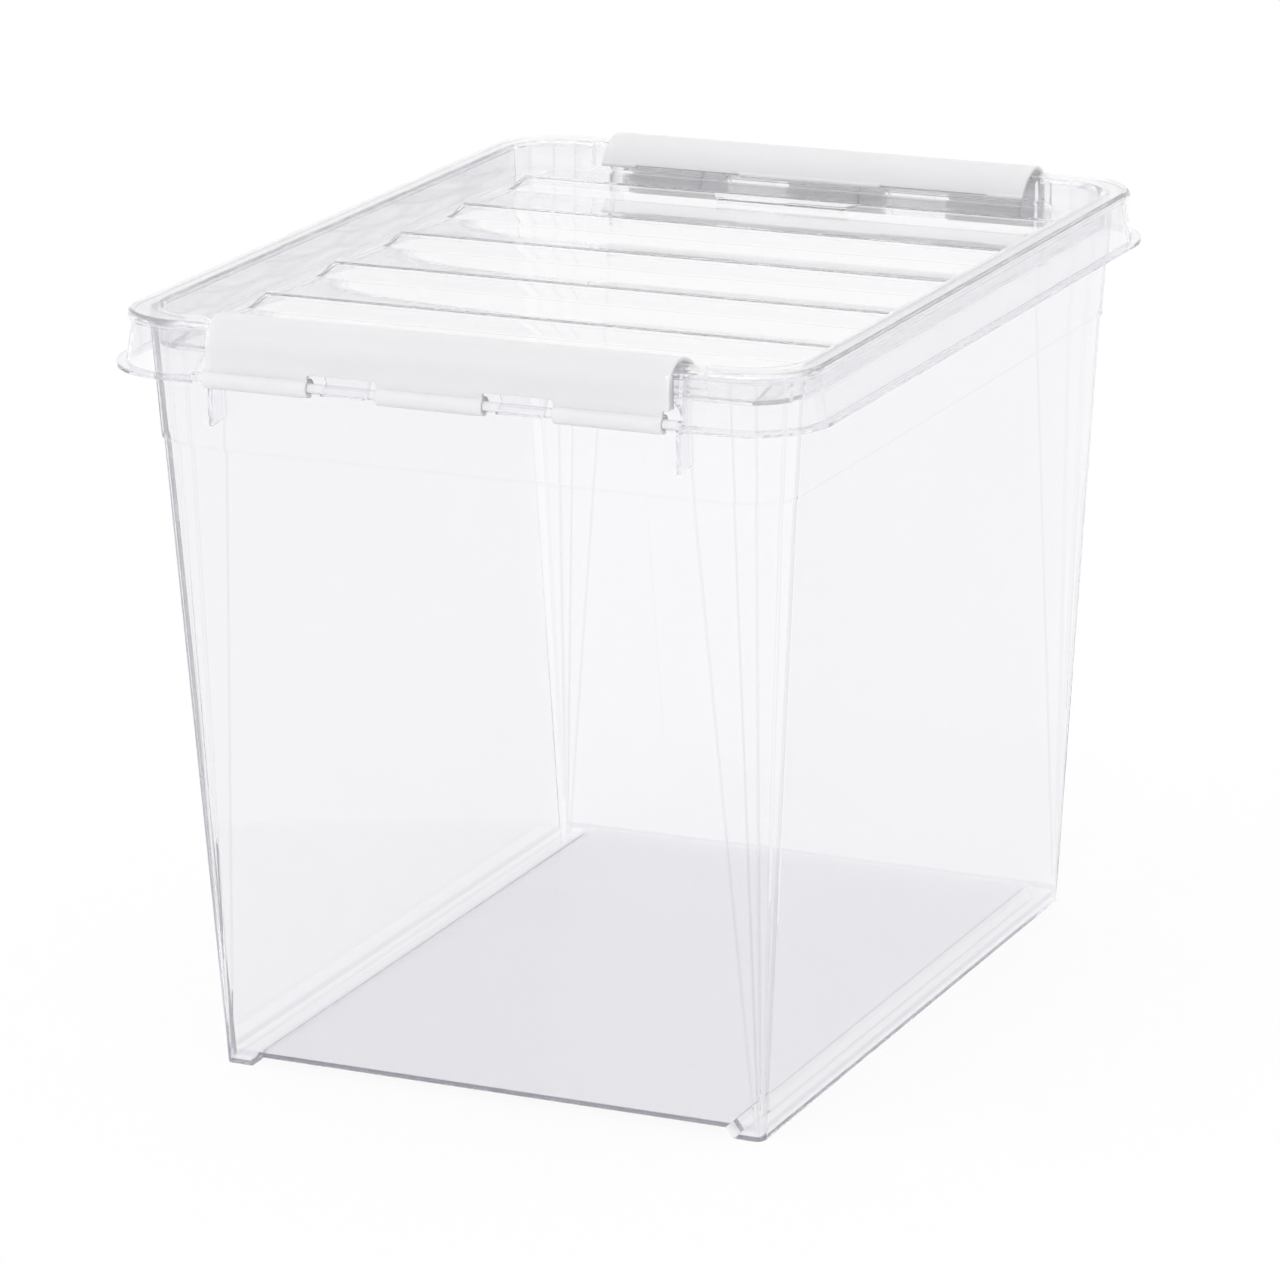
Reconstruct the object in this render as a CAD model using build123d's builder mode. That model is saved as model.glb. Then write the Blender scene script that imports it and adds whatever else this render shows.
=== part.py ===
from build123d import *
from math import cos, radians, sin, tan
import os

os.makedirs("parts", exist_ok=True)

# Millimetres. X runs across the box, Y along it and Z up, from the middle of the underside.

# Tub walls
base_w = 306.0           # outside width of the walls at the underside
base_l = 413.0           # outside length of the walls at the underside
tub_h = 403.2            # underside to the top of the rim
draft = 3.7              # degrees that each wall leans outward
wall = 2.0               # thickness of the walls and the floor
step_drop = 67.2         # rim top down to the line where the walls step outward
step_rise = 2.0          # height of that step
step_out = 0.8           # how far the walls step outward
fan_run_x = 51.0         # corner fan, measured along the short side under the rim
fan_run_y = 22.5         # corner fan, measured along the long side under the rim
fan_foot_x = 4.0         # the same corner at the underside, along the short side
fan_foot_y = 5.0         # and along the long side
fan_angles = (0, 27, 43, 66, 90)   # degrees round the corner where the fan's flats meet

# Runners under the long sides, with the floor raised between them
runner_w = 16.0          # width of a runner
runner_h = 5.6           # how far the floor is raised
runner_slope = 4.0       # width of the sloping side of a runner

# Rim: an inverted channel with a flared skirt and a flange round its foot
channel = 5.3            # clear width between the wall and the top of the skirt
skirt_wall = 2.0         # thickness of the skirt and of the channel's top
skirt_r = 34.0           # outside corner radius at the top of the skirt
skirt_h = 26.6           # rim top to the underside of the flange
skirt_flare = 4.2        # how far the skirt spreads on its way down
rim_edge = 1.0           # bevel along the top of the rim
flange_side = 3.7        # width of the flange along the long sides
flange_end = 5.4         # and along the short sides
flange_t = 2.4           # thickness of the flange
bar_r = 2.6              # radius of the hinge bar on the edge of the flange
gusset_t = 2.4           # thickness of the ribs beside the clips
gusset_gap = 0.7         # clearance between them and the clip's ends
gusset_h = 23.0          # how far the ribs reach below the flange
gusset_rise = 1.6        # rise of a rib's lower edge towards the wall
bite = 1.0               # how deep an added feature starts inside its neighbour

# Lid
seat_gap = 0.3           # between the rim and the lid's underside
lip_gap = 0.4            # between the skirt and the lid's lip
lid_wall = 2.0           # thickness of the lid
lip_h = 4.7              # height of the lip round the outside
crown_r = 2.8            # rounding along the lid's outer edge
brim_r = 2.8             # rounding along the edge of the basin
basin_depth = 17.0       # crown to the floor of the basin
basin_gap = 0.5          # between the basin's walls and the tub's walls
basin_draft = 3.0        # degrees that the basin's walls lean
basin_shelf = 3.8        # extra width of the crown along the short sides
basin_r = 28.0           # outside corner radius of the basin
pocket_l = 272.0         # length of the pocket behind each clip
pocket_d = 3.1           # how far its back is set outward from the basin's wall
pocket_step = 4.3        # pocket floor above the basin's floor

# Waves pressed into the lid's floor
crest_h = 4.7            # crest of a wave above the basin's floor
crest_first = 184.0      # place of the rearmost crest along Y
crest_pitch = 76.8       # one crest to the next
crest_count = 6
crest_l = 320.0          # length of a crest across the lid
crest_step = 0.8         # sharp drop in front of a crest
crest_lead = 0.4         # width of that drop
wave_depth = 3.7         # crest to the bottom of a trough
trough_run = 22.0        # crest to the bottom of the trough
tab_l = 88.0             # flat tab in front of the rearmost crest, at its root
tab_tip_l = 76.0         # and at its tip
tab_reach = 11.0         # how far it reaches forward
tab_drop = 0.4           # tab below the crest

# Clips
clip_l = 252.8           # length of a clip
clip_wall = 2.2          # thickness of a clip
clip_stand = 0.5         # inner face of the upright part, outside the hinge axis
clip_rise = 2.1          # inside of the bend above the lid's crown
bend_r = 12.1            # inside radius of the bend over the lid's edge
lip_in = 31.0            # tip of the flap, inward from the hinge axis
lip_up = 16.7            # and upward from it
bead_r = 1.5             # radius of the beads along the flap's tip
bead_mid_l = 84.0        # length of the middle bead
bead_end_l = 21.0        # length of each outer bead
cap_t = 2.0              # thickness of the webs at a clip's two ends
cap_d = 3.8              # depth of these webs
window_up = 7.4          # upper edge of the windows, above the hinge axis
window_r = 1.6           # corner radius of the windows

# Hinges
tube_r = 5.0             # outside radius of the hinge tubes
tube_l = 58.0            # length of a hinge tube
tube_pitch = 96.4        # one tube to the next, the middle of one to the middle of the other
tube_shift = 2.7         # middle tube's place, left of the clip's middle as seen from outside
bar_gap = 0.07           # running clearance round the hinge bar
mouth_w = 3.8            # opening that lets a tube snap onto the bar
mouth_turn = 35.0        # degrees below level that the opening faces
rib_t = 1.2              # small rib above each tube
rib_shift = 14.3         # its place, left of the tube's middle
rib_low = 5.6            # lower end of the rib, above the hinge axis
rib_h = 9.0              # height of the rib
rib_d = 1.6              # depth of the rib
slot_gap = 0.7           # clearance below a tube, in the slots of the rim
slot_side = 7.0          # clearance at each end of a tube
slot_h = 17.5            # height of a slot
slot_r = 10.0            # radius of a slot's upper corners

# Heights and places that follow from the sizes above
slope = tan(radians(draft))
step_z = tub_h - step_drop
flange_z = tub_h - skirt_h
channel_z = tub_h - skirt_wall
crown_z = tub_h + seat_gap + lid_wall
lip_z = crown_z - lip_h
basin_z = crown_z - basin_depth
pocket_z = basin_z + pocket_step
crest_z = basin_z + crest_h
trough_z = crest_z - wave_depth


def lean(z):
    """How far the outside of a wall stands out at height z."""
    return z * slope + (step_out if z > step_z else 0.0)


skirt_w = base_w + 2 * (lean(channel_z) + channel + skirt_wall)
skirt_l = base_l + 2 * (lean(channel_z) + channel + skirt_wall)
flange_w = skirt_w + 2 * (skirt_flare + flange_side)
flange_l = skirt_l + 2 * (skirt_flare + flange_end)
pivot_u = flange_l / 2 - bar_r
pivot_z = flange_z + bar_r

lid_w = skirt_w + 2 * (lip_gap + lid_wall)
lid_l = skirt_l + 2 * (lip_gap + lid_wall)
lid_r = skirt_r + lip_gap + lid_wall
basin_w = base_w + 2 * (lean(basin_z - lid_wall) - wall - basin_gap)
basin_l = base_l + 2 * (lean(basin_z - lid_wall) - wall - basin_gap - basin_shelf)

tube_places = [step * tube_pitch - tube_shift for step in (-1, 0, 1)]
window_places = [step * tube_pitch - tube_shift for step in (-1.5, -0.5, 0.5, 1.5)]


def fan_outline(z, inset):
    """Corners of the wall's outline at height z, moved inward by inset."""
    share = z / flange_z
    run_x = fan_foot_x + (fan_run_x - fan_foot_x) * share - inset
    run_y = fan_foot_y + (fan_run_y - fan_foot_y) * share - inset
    centre_x = base_w / 2 + lean(z) - inset - run_x
    centre_y = base_l / 2 + lean(z) - inset - run_y
    turns = [radians(angle) for angle in fan_angles]
    back_right = [(centre_x + run_x * sin(t), centre_y + run_y * cos(t)) for t in turns]
    front_right = [(x, -y) for x, y in reversed(back_right)]
    front_left = [(-x, -y) for x, y in back_right]
    back_left = [(-x, y) for x, y in reversed(back_right)]
    return back_right + front_right + front_left + back_left


def end_plane(side, along=0.0, u=0.0, z=0.0):
    """Section across a short side, at a place to the right as seen from outside.

    Its x points outward and its y points up.
    """
    return Plane(origin=(-side * along, side * u, z), x_dir=(0, side, 0), z_dir=(side, 0, 0))


def face_plane(side, u, z):
    """Plane that faces outward: its x points right as seen from outside, its y up."""
    return Plane(origin=(0, side * u, z), x_dir=(-side, 0, 0), z_dir=(0, side, 0))


# The tub
with BuildPart() as tub:
    # The rim as a block: flared skirt, top and flange
    for z, spread in ((flange_z, skirt_flare), (channel_z, 0.0)):
        with BuildSketch(Plane.XY.offset(z)):
            RectangleRounded(skirt_w + 2 * spread, skirt_l + 2 * spread, skirt_r + spread)
    loft(ruled=True)
    with BuildSketch(Plane.XY.offset(channel_z)):
        RectangleRounded(skirt_w, skirt_l, skirt_r)
    extrude(amount=skirt_wall)
    chamfer(tub.edges().group_by(Axis.Z)[-1], length=rim_edge)
    with BuildSketch(Plane.XY.offset(flange_z)):
        RectangleRounded(flange_w, flange_l, skirt_r + skirt_flare + flange_side)
    extrude(amount=flange_t)

    # The channel's inside, open below
    for z, spread in ((flange_z, skirt_flare), (channel_z, 0.0)):
        shrink = spread - skirt_wall
        with BuildSketch(Plane.XY.offset(z)):
            RectangleRounded(skirt_w + 2 * shrink, skirt_l + 2 * shrink, skirt_r + shrink)
    loft(ruled=True, mode=Mode.SUBTRACT)

    # Ribs beside the clips, from the top of the channel to below the flange
    gusset_z = flange_z - gusset_h
    for side in (-1, 1):
        for end in (-1, 1):
            with BuildSketch(end_plane(side, end * (clip_l / 2 + gusset_gap + gusset_t / 2))):
                with BuildLine():
                    Polyline(
                        (skirt_l / 2 + skirt_flare - bite, gusset_z),
                        (skirt_l / 2 + skirt_flare - bite, flange_z),
                        (skirt_l / 2 - bite, channel_z + bite),
                        (base_l / 2 + lean(channel_z) - bite, channel_z + bite),
                        (base_l / 2 + lean(gusset_z) - bite, gusset_z + gusset_rise),
                        close=True,
                    )
                make_face()
            extrude(amount=gusset_t / 2, both=True)

    # Slots for the hinge tubes, and the bar that runs through them
    slot_u = skirt_l / 2 - skirt_wall - bite
    for side in (-1, 1):
        with BuildSketch(face_plane(side, slot_u, pivot_z - tube_r - slot_gap)) as slots:
            with Locations(*((place, 0) for place in tube_places)):
                Rectangle(tube_l + 2 * slot_side, slot_h, align=(Align.CENTER, Align.MIN))
            fillet(slots.vertices().group_by(Axis.Y)[-1], radius=slot_r)
        extrude(amount=flange_l / 2 - slot_u + bite, mode=Mode.SUBTRACT)
        with BuildSketch(end_plane(side, -tube_shift, pivot_u, pivot_z)):
            Circle(bar_r)
        extrude(amount=tube_pitch + tube_l / 2 + slot_side + bite, both=True)

    # The walls with their corner fans, and their inside
    for z in (0.0, step_z, step_z + step_rise, tub_h):
        with BuildSketch(Plane.XY.offset(z)):
            with BuildLine():
                Polyline(*fan_outline(z, 0.0), close=True)
            make_face()
    loft(ruled=True)
    for z in (wall, step_z, step_z + step_rise, tub_h + bite):
        with BuildSketch(Plane.XY.offset(z)):
            with BuildLine():
                Polyline(*fan_outline(z, wall), close=True)
            make_face()
    loft(ruled=True, mode=Mode.SUBTRACT)

    # The raised floor between the runners
    runner_x = base_w / 2 - runner_w
    with BuildSketch(Plane.XZ):
        with BuildLine():
            Polyline(
                (-runner_x - wall, wall),
                (-runner_x - wall + runner_slope, wall + runner_h),
                (runner_x + wall - runner_slope, wall + runner_h),
                (runner_x + wall, wall),
                close=True,
            )
        make_face()
    extrude(amount=base_l / 2 - bite, both=True)
    with BuildSketch(Plane.XZ):
        with BuildLine():
            Polyline(
                (-runner_x, 0),
                (-runner_x + runner_slope, runner_h),
                (runner_x - runner_slope, runner_h),
                (runner_x, 0),
                close=True,
            )
        make_face()
    extrude(amount=base_l, both=True, mode=Mode.SUBTRACT)

tub.part.label = "tub"
export_step(tub.part, "parts/tub.step")


def wave_line(drop, rear):
    """Draws the waves' section from rear to the same distance in front, lowered by drop."""
    bow = (crest_pitch - trough_run) ** 2 / (2 * wave_depth)

    def on_rise(run):
        """Height of the slope that rises to the next crest, at a distance from its own."""
        return trough_z - drop + (run - trough_run) ** 2 / (2 * bow)

    start_run = crest_first + crest_pitch - rear
    middle_run = (start_run + crest_pitch) / 2
    ThreePointArc(
        (rear, on_rise(start_run)),
        (crest_first + crest_pitch - middle_run, on_rise(middle_run)),
        (crest_first, crest_z - drop),
    )
    for number in range(crest_count):
        crest = crest_first - number * crest_pitch
        top = crest_z - drop
        end_run = min(crest_pitch, crest + rear)
        scoop_run = (crest_lead + trough_run) / 2
        scoop_drop = (crest_step + wave_depth) / 2
        Line((crest, top), (crest - crest_lead, top - crest_step))
        scoop = TangentArc(
            (crest - crest_lead, top - crest_step),
            (crest - scoop_run, top - scoop_drop),
            tangent=(-1, 0),
        )
        TangentArc(
            (crest - scoop_run, top - scoop_drop),
            (crest - trough_run, top - wave_depth),
            tangent=scoop % 1,
        )
        middle_run = (trough_run + end_run) / 2
        ThreePointArc(
            (crest - trough_run, top - wave_depth),
            (crest - middle_run, on_rise(middle_run)),
            (crest - end_run, on_rise(end_run)),
        )
    return (rear, on_rise(start_run)), (crest - end_run, on_rise(end_run))


# The lid
with BuildPart() as lid:
    # Crown and lip
    with BuildSketch(Plane.XY.offset(lip_z)):
        RectangleRounded(lid_w, lid_l, lid_r)
    extrude(amount=lip_h)
    fillet(lid.edges().group_by(Axis.Z)[-1], radius=crown_r)
    with BuildSketch(Plane.XY.offset(lip_z)):
        RectangleRounded(skirt_w + 2 * lip_gap, skirt_l + 2 * lip_gap, skirt_r + lip_gap)
    extrude(amount=lip_h - lid_wall, mode=Mode.SUBTRACT)

    # The basin's outside, with the backs of the pockets
    basin_lean = basin_depth * tan(radians(basin_draft))
    for z, spread in ((basin_z - lid_wall, 0.0), (crown_z - lid_wall, basin_lean)):
        with BuildSketch(Plane.XY.offset(z)):
            RectangleRounded(basin_w + 2 * spread, basin_l + 2 * spread, basin_r + spread)
    loft(ruled=True)
    pocket_u = basin_l / 2 + pocket_d
    for side in (-1, 1):
        with BuildSketch(end_plane(side, 0, basin_l / 2 - lid_wall, pocket_z - lid_wall)):
            Rectangle(
                pocket_d + lid_wall,
                crown_z - bite - pocket_z + lid_wall,
                align=(Align.MIN, Align.MIN),
            )
        extrude(amount=pocket_l / 2 + lid_wall, both=True)

    # The waves and the flat tab in front of the rearmost crest
    wave_end = basin_l / 2 + bite
    with BuildSketch(Plane.YZ):
        with BuildLine():
            rear_end, front_end = wave_line(0.0, wave_end)
            Polyline(
                front_end,
                (-wave_end, basin_z - lid_wall),
                (wave_end, basin_z - lid_wall),
                rear_end,
            )
        make_face()
    waves = extrude(amount=crest_l / 2, both=True, mode=Mode.PRIVATE)
    with BuildSketch(Plane.XY.offset(trough_z - bite)):
        with BuildLine():
            Polyline(
                (-tab_l / 2, crest_first),
                (tab_l / 2, crest_first),
                (tab_tip_l / 2, crest_first - tab_reach),
                (-tab_tip_l / 2, crest_first - tab_reach),
                close=True,
            )
        make_face()
    tab = extrude(amount=crest_z - tab_drop - trough_z + bite, mode=Mode.PRIVATE)

    # The basin's inside, which leaves the waves standing on its floor
    for z, spread in ((basin_z, 0.0), (crown_z, basin_lean)):
        shrink = spread - lid_wall
        with BuildSketch(Plane.XY.offset(z)):
            RectangleRounded(basin_w + 2 * shrink, basin_l + 2 * shrink, basin_r + shrink)
    basin = loft(ruled=True, mode=Mode.PRIVATE)
    add(basin - waves - tab, mode=Mode.SUBTRACT)

    # Hollow under the waves
    hollow_end = basin_l / 2 - 2 * lid_wall
    with BuildSketch(Plane.YZ):
        with BuildLine():
            rear_end, front_end = wave_line(lid_wall, hollow_end)
            Polyline(
                front_end,
                (-hollow_end, basin_z - lid_wall - bite),
                (hollow_end, basin_z - lid_wall - bite),
                rear_end,
            )
        make_face()
    extrude(amount=crest_l / 2 - lid_wall, both=True, mode=Mode.SUBTRACT)

    # Pockets for the clips' flaps
    for side in (-1, 1):
        with BuildSketch(end_plane(side, 0, basin_l / 2 - lid_wall - bite, pocket_z)):
            Rectangle(pocket_d + bite, crown_z, align=(Align.MIN, Align.MIN))
        extrude(amount=pocket_l / 2, both=True, mode=Mode.SUBTRACT)
    fillet(lid.faces().sort_by(Axis.Z)[-1].inner_wires()[0].edges(), radius=brim_r)

lid.part.label = "lid"
export_step(lid.part, "parts/lid.step")


# The two clips, each hinged on the bar at its own end of the tub
for clip_name, side in (("front_clip", -1), ("rear_clip", 1)):
    with BuildPart() as clip:
        bend_top = crown_z + clip_rise - pivot_z

        # Upright, bend over the lid's edge, and flap
        with BuildSketch(end_plane(side, 0, pivot_u, pivot_z)):
            with BuildLine():
                Line((clip_stand, 0), (clip_stand, bend_top - bend_r))
                CenterArc((clip_stand - bend_r, bend_top - bend_r), bend_r, 0, 90)
                flap = TangentArc(
                    (clip_stand - bend_r, bend_top),
                    (-lip_in, lip_up),
                    tangent=(-1, 0),
                )
                offset(amount=clip_wall, side=Side.RIGHT, closed=True)
            make_face()
        extrude(amount=clip_l / 2, both=True)

        # Webs at the two ends
        for end in (-1, 1):
            with BuildSketch(end_plane(side, end * (clip_l - cap_t) / 2, pivot_u, pivot_z)):
                with Locations((clip_stand + clip_wall / 2, window_up)):
                    Rectangle(
                        cap_d + clip_wall / 2,
                        bend_top - cap_d - window_up,
                        align=(Align.MAX, Align.MIN),
                    )
            extrude(amount=cap_t / 2, both=True)

        # Beads along the flap's tip
        tip = flap @ 1
        tip_heading = flap % 1
        bead_x = tip.X + tip_heading.Y * clip_wall / 2
        bead_y = tip.Y - tip_heading.X * clip_wall / 2
        bead_end_place = (clip_l - bead_end_l) / 2
        for place, length in (
            (-bead_end_place, bead_end_l),
            (0, bead_mid_l),
            (bead_end_place, bead_end_l),
        ):
            with BuildSketch(end_plane(side, place, pivot_u, pivot_z)):
                with Locations((bead_x, bead_y)):
                    Circle(bead_r)
            extrude(amount=length / 2, both=True)

        # Windows between the tubes
        window_h = window_up + tube_r + window_r
        with BuildSketch(face_plane(side, pivot_u - tube_r, pivot_z + window_up)):
            with Locations(*((place, 0) for place in window_places)):
                RectangleRounded(
                    tube_pitch - tube_l,
                    window_h,
                    window_r,
                    align=(Align.CENTER, Align.MAX),
                )
        extrude(amount=2 * tube_r, mode=Mode.SUBTRACT)

        # Hinge tubes and the small ribs above them
        for place in tube_places:
            with BuildSketch(end_plane(side, place, pivot_u, pivot_z)):
                Circle(tube_r)
            extrude(amount=tube_l / 2, both=True)
            with BuildSketch(end_plane(side, place - rib_shift, pivot_u, pivot_z)):
                with Locations((clip_stand + clip_wall / 2, rib_low)):
                    Rectangle(rib_d + clip_wall / 2, rib_h, align=(Align.MAX, Align.MIN))
            extrude(amount=rib_t / 2, both=True)

        # Bore for the hinge bar, and the opening that snaps over it
        with BuildSketch(end_plane(side, 0, pivot_u, pivot_z)):
            Circle(bar_r + bar_gap)
            Rectangle(
                tube_r + bite,
                mouth_w,
                rotation=180 + mouth_turn,
                align=(Align.MIN, Align.CENTER),
            )
        extrude(amount=clip_l, both=True, mode=Mode.SUBTRACT)

    clip.part.label = clip_name
    export_step(clip.part, f"parts/{clip_name}.step")
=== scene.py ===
from math import radians

import bpy
from mathutils import Matrix, Vector

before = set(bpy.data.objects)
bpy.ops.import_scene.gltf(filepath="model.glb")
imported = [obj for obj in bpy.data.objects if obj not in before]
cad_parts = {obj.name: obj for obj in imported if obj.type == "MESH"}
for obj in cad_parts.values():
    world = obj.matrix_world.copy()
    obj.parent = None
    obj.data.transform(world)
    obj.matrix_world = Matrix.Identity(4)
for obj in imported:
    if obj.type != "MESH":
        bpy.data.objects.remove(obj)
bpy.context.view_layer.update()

# Tub
# One injection moulding in clear polypropylene, 2 mm thick. The plastic is a little cloudy, its
# polished walls still show the faint flow of the melt, and the raised floor is matt, its colour
# darkened by painted shade.


def add_node(tree, kind, inputs=(), **settings):
    """Adds a node, sets its properties, and gives each named input its value or its link."""
    node = tree.nodes.new(kind)
    for setting, value in settings.items():
        setattr(node, setting, value)
    for socket, value in dict(inputs).items():
        if isinstance(value, bpy.types.NodeSocket):
            tree.links.new(value, node.inputs[socket])
        else:
            node.inputs[socket].default_value = value
    return node


def add_math(tree, operation, *terms, clamp=False):
    """What a Math node makes of these numbers and values."""
    node = add_node(
        tree, "ShaderNodeMath", enumerate(terms), operation=operation, use_clamp=clamp
    )
    return node.outputs["Value"]


def add_vector_math(tree, operation, *terms):
    """A Vector Math node on these vectors."""
    return add_node(tree, "ShaderNodeVectorMath", enumerate(terms), operation=operation)


def add_mix(tree, share, first, second):
    """One colour, or another where share is 1."""
    inputs = {"Factor": share, "A": first, "B": second}
    return add_node(tree, "ShaderNodeMix", inputs, data_type="RGBA").outputs["Result"]


def add_range(tree, value, start, end, at_start=0.0, at_end=1.0):
    """A value that goes from at_start to at_end while another goes from start to end."""
    inputs = {
        "Value": value,
        "From Min": start,
        "From Max": end,
        "To Min": at_start,
        "To Max": at_end,
    }
    return add_node(tree, "ShaderNodeMapRange", inputs).outputs["Result"]


def new_material(name):
    """Starts a material with only its output, and returns it with its node tree and output."""
    material = bpy.data.materials.new(name)
    material.use_nodes = True
    material.node_tree.nodes.clear()
    output = add_node(material.node_tree, "ShaderNodeOutputMaterial")
    return material, material.node_tree, output


flow_detail = 2.0
flow_bend = 0.6          # how far the bands of flow wander
mark_detail = 6.0
mark_height = 0.12       # height of the handling marks, as a share of the flow's


def moulded_surface_group():
    """The look of a moulded skin: melt flow in long bands, and fine handling marks."""
    group = bpy.data.node_groups.new("moulded_surface", "ShaderNodeTree")
    for label, way, kind in (
        ("Flow size", "INPUT", "NodeSocketFloat"),
        ("Mark size", "INPUT", "NodeSocketFloat"),
        ("Pale", "INPUT", "NodeSocketColor"),
        ("Deep", "INPUT", "NodeSocketColor"),
        ("Least roughness", "INPUT", "NodeSocketFloat"),
        ("Most roughness", "INPUT", "NodeSocketFloat"),
        ("Color", "OUTPUT", "NodeSocketColor"),
        ("Roughness", "OUTPUT", "NodeSocketFloat"),
        ("Height", "OUTPUT", "NodeSocketFloat"),
    ):
        group.interface.new_socket(label, in_out=way, socket_type=kind)
    given = add_node(group, "NodeGroupInput").outputs
    place = add_node(group, "ShaderNodeTexCoord").outputs["Object"]
    flow = add_node(group, "ShaderNodeTexNoise", {
        "Vector": place,
        "Scale": given["Flow size"],
        "Detail": flow_detail,
        "Distortion": flow_bend,
    }).outputs["Fac"]
    marks = add_node(group, "ShaderNodeTexNoise", {
        "Vector": place,
        "Scale": given["Mark size"],
        "Detail": mark_detail,
    }).outputs["Fac"]
    least, most = given["Least roughness"], given["Most roughness"]
    add_node(group, "NodeGroupOutput", {
        "Color": add_mix(group, flow, given["Pale"], given["Deep"]),
        "Roughness": add_range(group, marks, 0.0, 1.0, least, most),
        "Height": add_math(group, "MULTIPLY_ADD", marks, mark_height, flow),
    })
    return group


moulded_surface = moulded_surface_group()


def add_moulded_surface(tree, shader, sizes, pale, deep, roughness, ripple, ripple_height):
    """Gives a shader the moulded skin with that plastic's own values.

    Returns the skin and the bump that it feeds.
    """
    skin = add_node(tree, "ShaderNodeGroup", node_tree=moulded_surface)
    skin.inputs["Flow size"].default_value = sizes[0]
    skin.inputs["Mark size"].default_value = sizes[1]
    skin.inputs["Pale"].default_value = (*pale, 1.0)
    skin.inputs["Deep"].default_value = (*deep, 1.0)
    skin.inputs["Least roughness"].default_value = roughness[0]
    skin.inputs["Most roughness"].default_value = roughness[1]
    bump = add_node(tree, "ShaderNodeBump", {
        "Strength": ripple,
        "Distance": ripple_height,
        "Height": skin.outputs["Height"],
    })
    tree.links.new(skin.outputs["Color"], shader.inputs["Base Color"])
    tree.links.new(skin.outputs["Roughness"], shader.inputs["Roughness"])
    tree.links.new(bump.outputs["Normal"], shader.inputs["Normal"])
    return skin, bump


clear_sizes = (9.0, 260.0)      # of the flow and of the marks, as many to a metre
clear_pale = (0.998, 0.998, 1.0)
clear_deep = (0.985, 0.985, 0.990)
clear_cloud = 0.02       # share of the light that the cloudiness scatters
clear_past = 0.05        # share that passes straight through
clear_index = 1.22       # lower than the real one, with which thin walls render too dark
clear_tint = (0.42, 0.38, 0.62)     # what light keeps as it runs along inside the plastic
clear_ripple = 0.03
clear_ripple_height = 0.001
polish = 0.6
polish_roughness = 0.03


def clear_plastic(name, roughness, density):
    """Clear, slightly cloudy polypropylene, tinted where light runs along inside it.

    Returns the material, its shader, its skin and its bump.
    """
    material, tree, output = new_material(name)
    shader = add_node(tree, "ShaderNodeBsdfPrincipled", {
        "IOR": clear_index,
        "Alpha": 1.0 - clear_past,
        "Coat Weight": polish,
        "Coat Roughness": polish_roughness,
        "Transmission Weight": 1.0 - clear_cloud,
    })
    skin, bump = add_moulded_surface(
        tree, shader, clear_sizes, clear_pale, clear_deep, roughness, clear_ripple,
        clear_ripple_height,
    )
    inside = add_node(tree, "ShaderNodeVolumeAbsorption", {
        "Color": (*clear_tint, 1.0),
        "Density": density,
    })
    tree.links.new(shader.outputs["BSDF"], output.inputs["Surface"])
    tree.links.new(inside.outputs["Volume"], output.inputs["Volume"])
    return material, shader, skin, bump


def add_place(tree):
    """X, Y and Z of a place on the piece."""
    place = add_node(tree, "ShaderNodeTexCoord").outputs["Object"]
    return add_node(tree, "ShaderNodeSeparateXYZ", {"Vector": place}).outputs


def add_height_band(tree, band, blur, inside, outside):
    """A value for the heights within band, and another one elsewhere."""
    middle, half = (band[0] + band[1]) / 2, (band[1] - band[0]) / 2
    away = add_math(tree, "ABSOLUTE", add_math(tree, "SUBTRACT", add_place(tree)["Z"], middle))
    return add_range(tree, away, half, half + blur, inside, outside)


edge_reach = 0.0018      # how far the look of an upright edge reaches over the flats beside it
edge_samples = 4
edge_painted_highlight = (1.0, 1.0, 1.0)     # painted highlight beside the edge, whiter than the plastic
# painted shade: a dark line along the edge, standing in for its refraction
edge_painted_shade = (0.86, 0.855, 0.885)
highlight_turn = (0.006, 0.015)      # how far the rounded edge turns where the painted highlight band starts and is full
shade_line_turn = (0.028, 0.04)       # the same for the painted dark line


def add_painted_edge_lines(tree, wall_colour):
    """Where two flats meet in an upright edge: a painted highlight band beside it, then a painted
    dark line of shade.
    """
    rounded = add_node(tree, "ShaderNodeBevel", {"Radius": edge_reach}, samples=edge_samples)
    flat = add_node(tree, "ShaderNodeNewGeometry")
    headings = []
    for normal in (rounded.outputs["Normal"], flat.outputs["Normal"]):
        level = add_vector_math(tree, "MULTIPLY", normal, (1.0, 1.0, 0.0)).outputs["Vector"]
        headings.append(add_vector_math(tree, "NORMALIZE", level).outputs["Vector"])
    apart = add_vector_math(tree, "SUBTRACT", *headings).outputs["Vector"]
    turn = add_vector_math(tree, "LENGTH", apart).outputs["Value"]
    colour = wall_colour
    for painted_tone, (start, full) in ((edge_painted_highlight, highlight_turn), (edge_painted_shade, shade_line_turn)):
        colour = add_mix(tree, add_range(tree, turn, start, full), colour, (*painted_tone, 1.0))
    return colour


side_edge = (0.2015, 0.02127)   # where a long wall meets its corner: at the foot, and per height
side_plane = (0.152, 0.06467)   # middle of a long wall's thickness: at the foot, and per height
side_reach = (-0.0047, 0.0055)  # from that edge, over the wall and over the corner's last flat
side_skin = 0.003        # past the wall's outside, and short of the skirt
side_facing = 0.8        # least X of the normal where a surface faces sideways
side_shown = 0.12        # alpha there


def add_beyond(tree, across, height, line):
    """How far a place lies beyond a sloping line, on either side of the box."""
    limit = add_math(tree, "MULTIPLY_ADD", height, line[1], line[0])
    return add_math(tree, "SUBTRACT", add_math(tree, "ABSOLUTE", across), limit)


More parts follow.
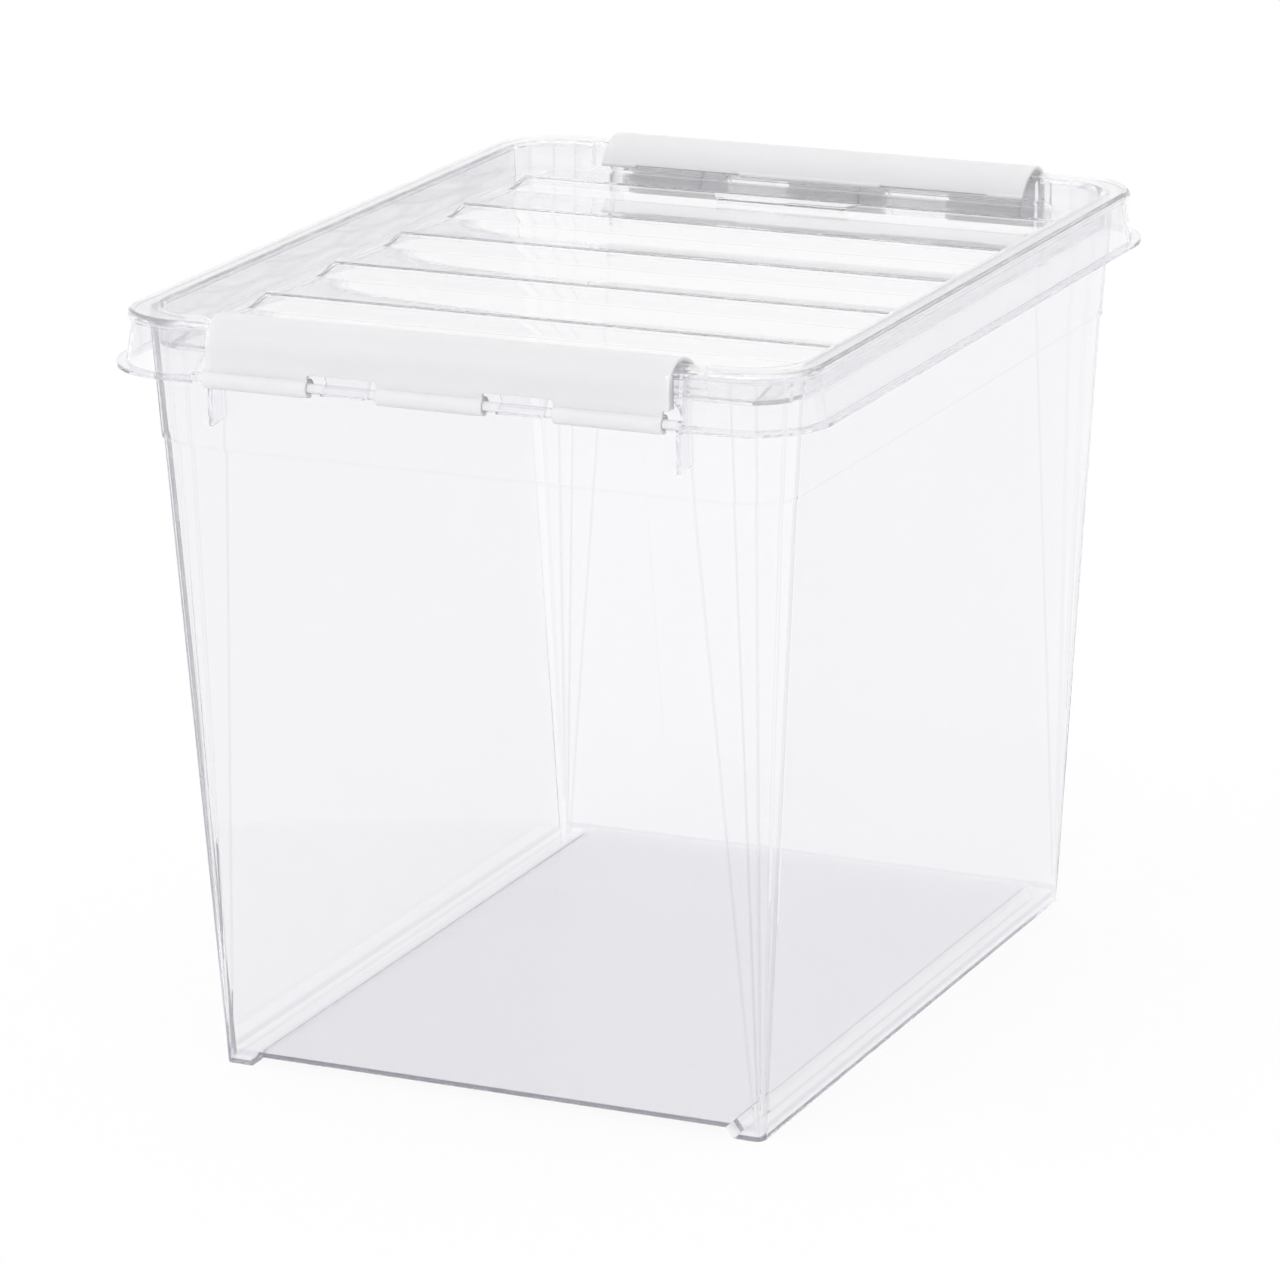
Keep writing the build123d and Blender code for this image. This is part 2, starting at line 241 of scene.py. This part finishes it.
def add_side_edges(tree, shown):
    """Alpha: lower at the long walls' ends, where hard corners would trap the light.

    It takes in the corner's last flat beside the edge, and of the wall itself only the inside.
    """
    place = add_place(tree)
    along = add_beyond(tree, place["Y"], place["Z"], side_edge)
    outward = add_beyond(tree, place["X"], place["Z"], side_plane)
    middle, half = (side_reach[0] + side_reach[1]) / 2, (side_reach[1] - side_reach[0]) / 2
    near = add_math(tree, "COMPARE", along, middle, half)
    on_tub_wall = add_math(tree, "LESS_THAN", outward, side_skin)
    normal = add_node(tree, "ShaderNodeNewGeometry").outputs["Normal"]
    faces = add_node(tree, "ShaderNodeSeparateXYZ", {"Vector": normal}).outputs["X"]
    sideways = add_math(tree, "GREATER_THAN", add_math(tree, "ABSOLUTE", faces), side_facing)
    beside = add_math(tree, "MULTIPLY", add_math(tree, "MULTIPLY", near, on_tub_wall), sideways)
    on_wall = add_math(tree, "LESS_THAN", along, 0.0)
    outside = add_math(tree, "GREATER_THAN", outward, 0.0)
    left_out = add_math(tree, "MULTIPLY", on_wall, outside)
    band = add_math(tree, "SUBTRACT", beside, left_out, clamp=True)
    return add_range(tree, band, 0.0, 1.0, shown, side_shown)


step_band = (0.3357, 0.3383)    # heights of the step in the walls
step_blur = 0.0004
step_slant = 0.3         # how much of its slope the softly moulded step shows


def add_soft_step(tree):
    """The surface's own normal, turned most of the way to level where the walls step out."""
    normal = add_node(tree, "ShaderNodeNewGeometry").outputs["Normal"]
    scale = add_node(tree, "ShaderNodeCombineXYZ", {
        "X": 1.0,
        "Y": 1.0,
        "Z": add_height_band(tree, step_band, step_blur, step_slant, 1.0),
    })
    turned = add_vector_math(tree, "MULTIPLY", normal, scale.outputs["Vector"])
    return add_vector_math(tree, "NORMALIZE", turned.outputs["Vector"]).outputs["Vector"]


panel_band = (0.0051, 0.0081)   # heights of the raised floor
panel_blur = 0.0002
# Painted shade: the raised floor is darkened for the floor's shadow under the box, seen through
# it; only its added roughness is real matt finish.
panel_painted_shade = (0.905, 0.895, 0.93)
panel_matt = 0.15        # added to its roughness

tub_plastic, tub_shader, tub_skin, tub_bump = clear_plastic(
    "tub_clear_plastic", roughness=(0.0, 0.03), density=11.0
)
tub_tree = tub_plastic.node_tree
on_panel = add_height_band(tub_tree, panel_band, panel_blur, 1.0, 0.0)
# The tub's colour takes painted highlights and painted dark lines at its upright edges.
tub_colour = add_mix(
    tub_tree,
    on_panel,
    add_painted_edge_lines(tub_tree, tub_skin.outputs["Color"]),
    (*panel_painted_shade, 1.0),
)
tub_roughness = add_math(
    tub_tree, "MULTIPLY_ADD", on_panel, panel_matt, tub_skin.outputs["Roughness"]
)
tub_alpha = add_side_edges(tub_tree, 1.0 - clear_past)
tub_tree.links.new(tub_colour, tub_shader.inputs["Base Color"])
tub_tree.links.new(tub_roughness, tub_shader.inputs["Roughness"])
tub_tree.links.new(tub_alpha, tub_shader.inputs["Alpha"])
tub_tree.links.new(add_soft_step(tub_tree), tub_bump.inputs["Normal"])
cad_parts["tub"].material_slots[0].material = tub_plastic

# Lid
# One moulding in the same clear polypropylene, with waves pressed into its sunken top so that it
# stays flat. It sits loose on the rim, and only the clips hold it down.

lid_plastic, *_ = clear_plastic("lid_clear_plastic", roughness=(0.01, 0.05), density=1.5)
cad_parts["lid"].material_slots[0].material = lid_plastic

# Clips
# Two alike mouldings in milky polypropylene, which lets some light through. Each snaps with
# three split tubes onto the bar along the tub's flange, and hooks over the lid's edge.

clip_sizes = (14.0, 320.0)      # of the flow and of the marks, as many to a metre
clip_pale = (0.957, 0.914, 1.0)
clip_deep = (0.948, 0.902, 1.0)
clip_roughness = (0.36, 0.46)
clip_index = 1.3
clip_milk = 0.9          # share of the light that scatters inside
clip_depth = 0.008       # how far it goes there
clip_ripple = 0.02
clip_ripple_height = 0.0005

clip_plastic, clip_tree, clip_output = new_material("clip_milky_plastic")
clip_shader = add_node(clip_tree, "ShaderNodeBsdfPrincipled", {
    "IOR": clip_index,
    "Subsurface Weight": clip_milk,
    "Subsurface Radius": (1.0, 1.0, 1.0),
    "Subsurface Scale": clip_depth,
})
add_moulded_surface(
    clip_tree, clip_shader, clip_sizes, clip_pale, clip_deep, clip_roughness, clip_ripple,
    clip_ripple_height,
)
clip_tree.links.new(clip_shader.outputs["BSDF"], clip_output.inputs["Surface"])
for clip in ("front_clip", "rear_clip"):
    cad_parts[clip].material_slots[0].material = clip_plastic

# Studio
# A white sweep under soft white light. Its white comes from the colour that the camera, gloss
# and clear plastic see, and the object is lit at a plain level.

white = (1.0, 1.0, 1.0, 1.0)


def seen_directly(tree):
    """1 where a camera, glossy or transmission ray arrives, otherwise 0."""
    path = add_node(tree, "ShaderNodeLightPath").outputs
    first = add_math(tree, "MAXIMUM", path["Is Camera Ray"], path["Is Glossy Ray"])
    return add_math(tree, "MAXIMUM", first, path["Is Transmission Ray"])


sky_level = 0.95         # of the light that falls on the object
world = bpy.data.worlds.new("white_studio")
world.use_nodes = True
sky = world.node_tree
sky.nodes.clear()
sky_light = add_node(sky, "ShaderNodeBackground", {"Color": white, "Strength": sky_level})
sky_white = add_node(sky, "ShaderNodeBackground", {"Color": white})
sky_mix = add_node(sky, "ShaderNodeMixShader", {
    0: seen_directly(sky),
    1: sky_light.outputs["Background"],
    2: sky_white.outputs["Background"],
})
add_node(sky, "ShaderNodeOutputWorld", {"Surface": sky_mix.outputs["Shader"]})
bpy.context.scene.world = world

floor_size = 16.0
floor_top = -0.0002      # just below the runners
floor_glow = 0.9         # share of the floor's look that is plain white, the rest is lit
bpy.ops.object.select_all(action="DESELECT")
bpy.ops.mesh.primitive_plane_add(size=floor_size, location=(0.0, 0.0, floor_top))
floor = bpy.context.object
floor.name = "floor"
bpy.ops.object.transform_apply(location=True, rotation=False, scale=False)
floor_white, floor_tree, floor_output = new_material("floor_white")
floor_lit = add_node(floor_tree, "ShaderNodeBsdfDiffuse", {"Color": white})
floor_plain = add_node(floor_tree, "ShaderNodeEmission")
floor_mix = add_node(floor_tree, "ShaderNodeMixShader", {
    0: add_math(floor_tree, "MULTIPLY", seen_directly(floor_tree), floor_glow),
    1: floor_lit.outputs["BSDF"],
    2: floor_plain.outputs["Emission"],
})
floor_tree.links.new(floor_mix.outputs["Shader"], floor_output.inputs["Surface"])
floor.data.materials.append(floor_white)

key_level = 0.45
key_spread = 70.0        # degrees that the lamp spans, which keeps its shadow soft
key_lean = (40.0, -20.0, 0.0)   # degrees from straight overhead, to the front and to the left
key_lamp = bpy.data.lights.new("key_lamp", "SUN")
key_lamp.energy = key_level
key_lamp.angle = radians(key_spread)
key_holder = bpy.data.objects.new("key_lamp", key_lamp)
key_holder.rotation_euler = [radians(angle) for angle in key_lean]
bpy.context.scene.collection.objects.link(key_holder)

# Camera
# A long lens, a little above the lid and turned to the front right corner. The camera was fitted
# to the box's corners in the photograph.

camera_aim = Vector((-0.0052, -0.0039, 0.1958))
camera_distance = 3.325
camera_turn = 24.976     # degrees round the box from straight in front
camera_height = 16.287   # degrees above level
camera_roll = -0.805
sensor_mm = 36.0
lens_mm = 175.81
camera_data = bpy.data.cameras.new("camera")
camera_data.sensor_fit = "HORIZONTAL"
camera_data.sensor_width = sensor_mm
camera_data.lens = lens_mm
camera = bpy.data.objects.new("camera", camera_data)
bpy.context.scene.collection.objects.link(camera)
heading = (
    Matrix.Rotation(radians(camera_turn), 4, "Z")
    @ Matrix.Rotation(radians(90.0 - camera_height), 4, "X")
    @ Matrix.Rotation(radians(camera_roll), 4, "Z")
)
camera.matrix_world = (
    Matrix.Translation(camera_aim + camera_distance * heading.col[2].to_3d()) @ heading
)
bpy.context.scene.camera = camera
bpy.context.scene.view_settings.view_transform = "Standard"

# Light crosses many clear walls before it leaves the box, so it may bounce often
bpy.context.scene.cycles.max_bounces = 24
bpy.context.scene.cycles.glossy_bounces = 16
bpy.context.scene.cycles.transmission_bounces = 24
bpy.context.scene.cycles.transparent_max_bounces = 32
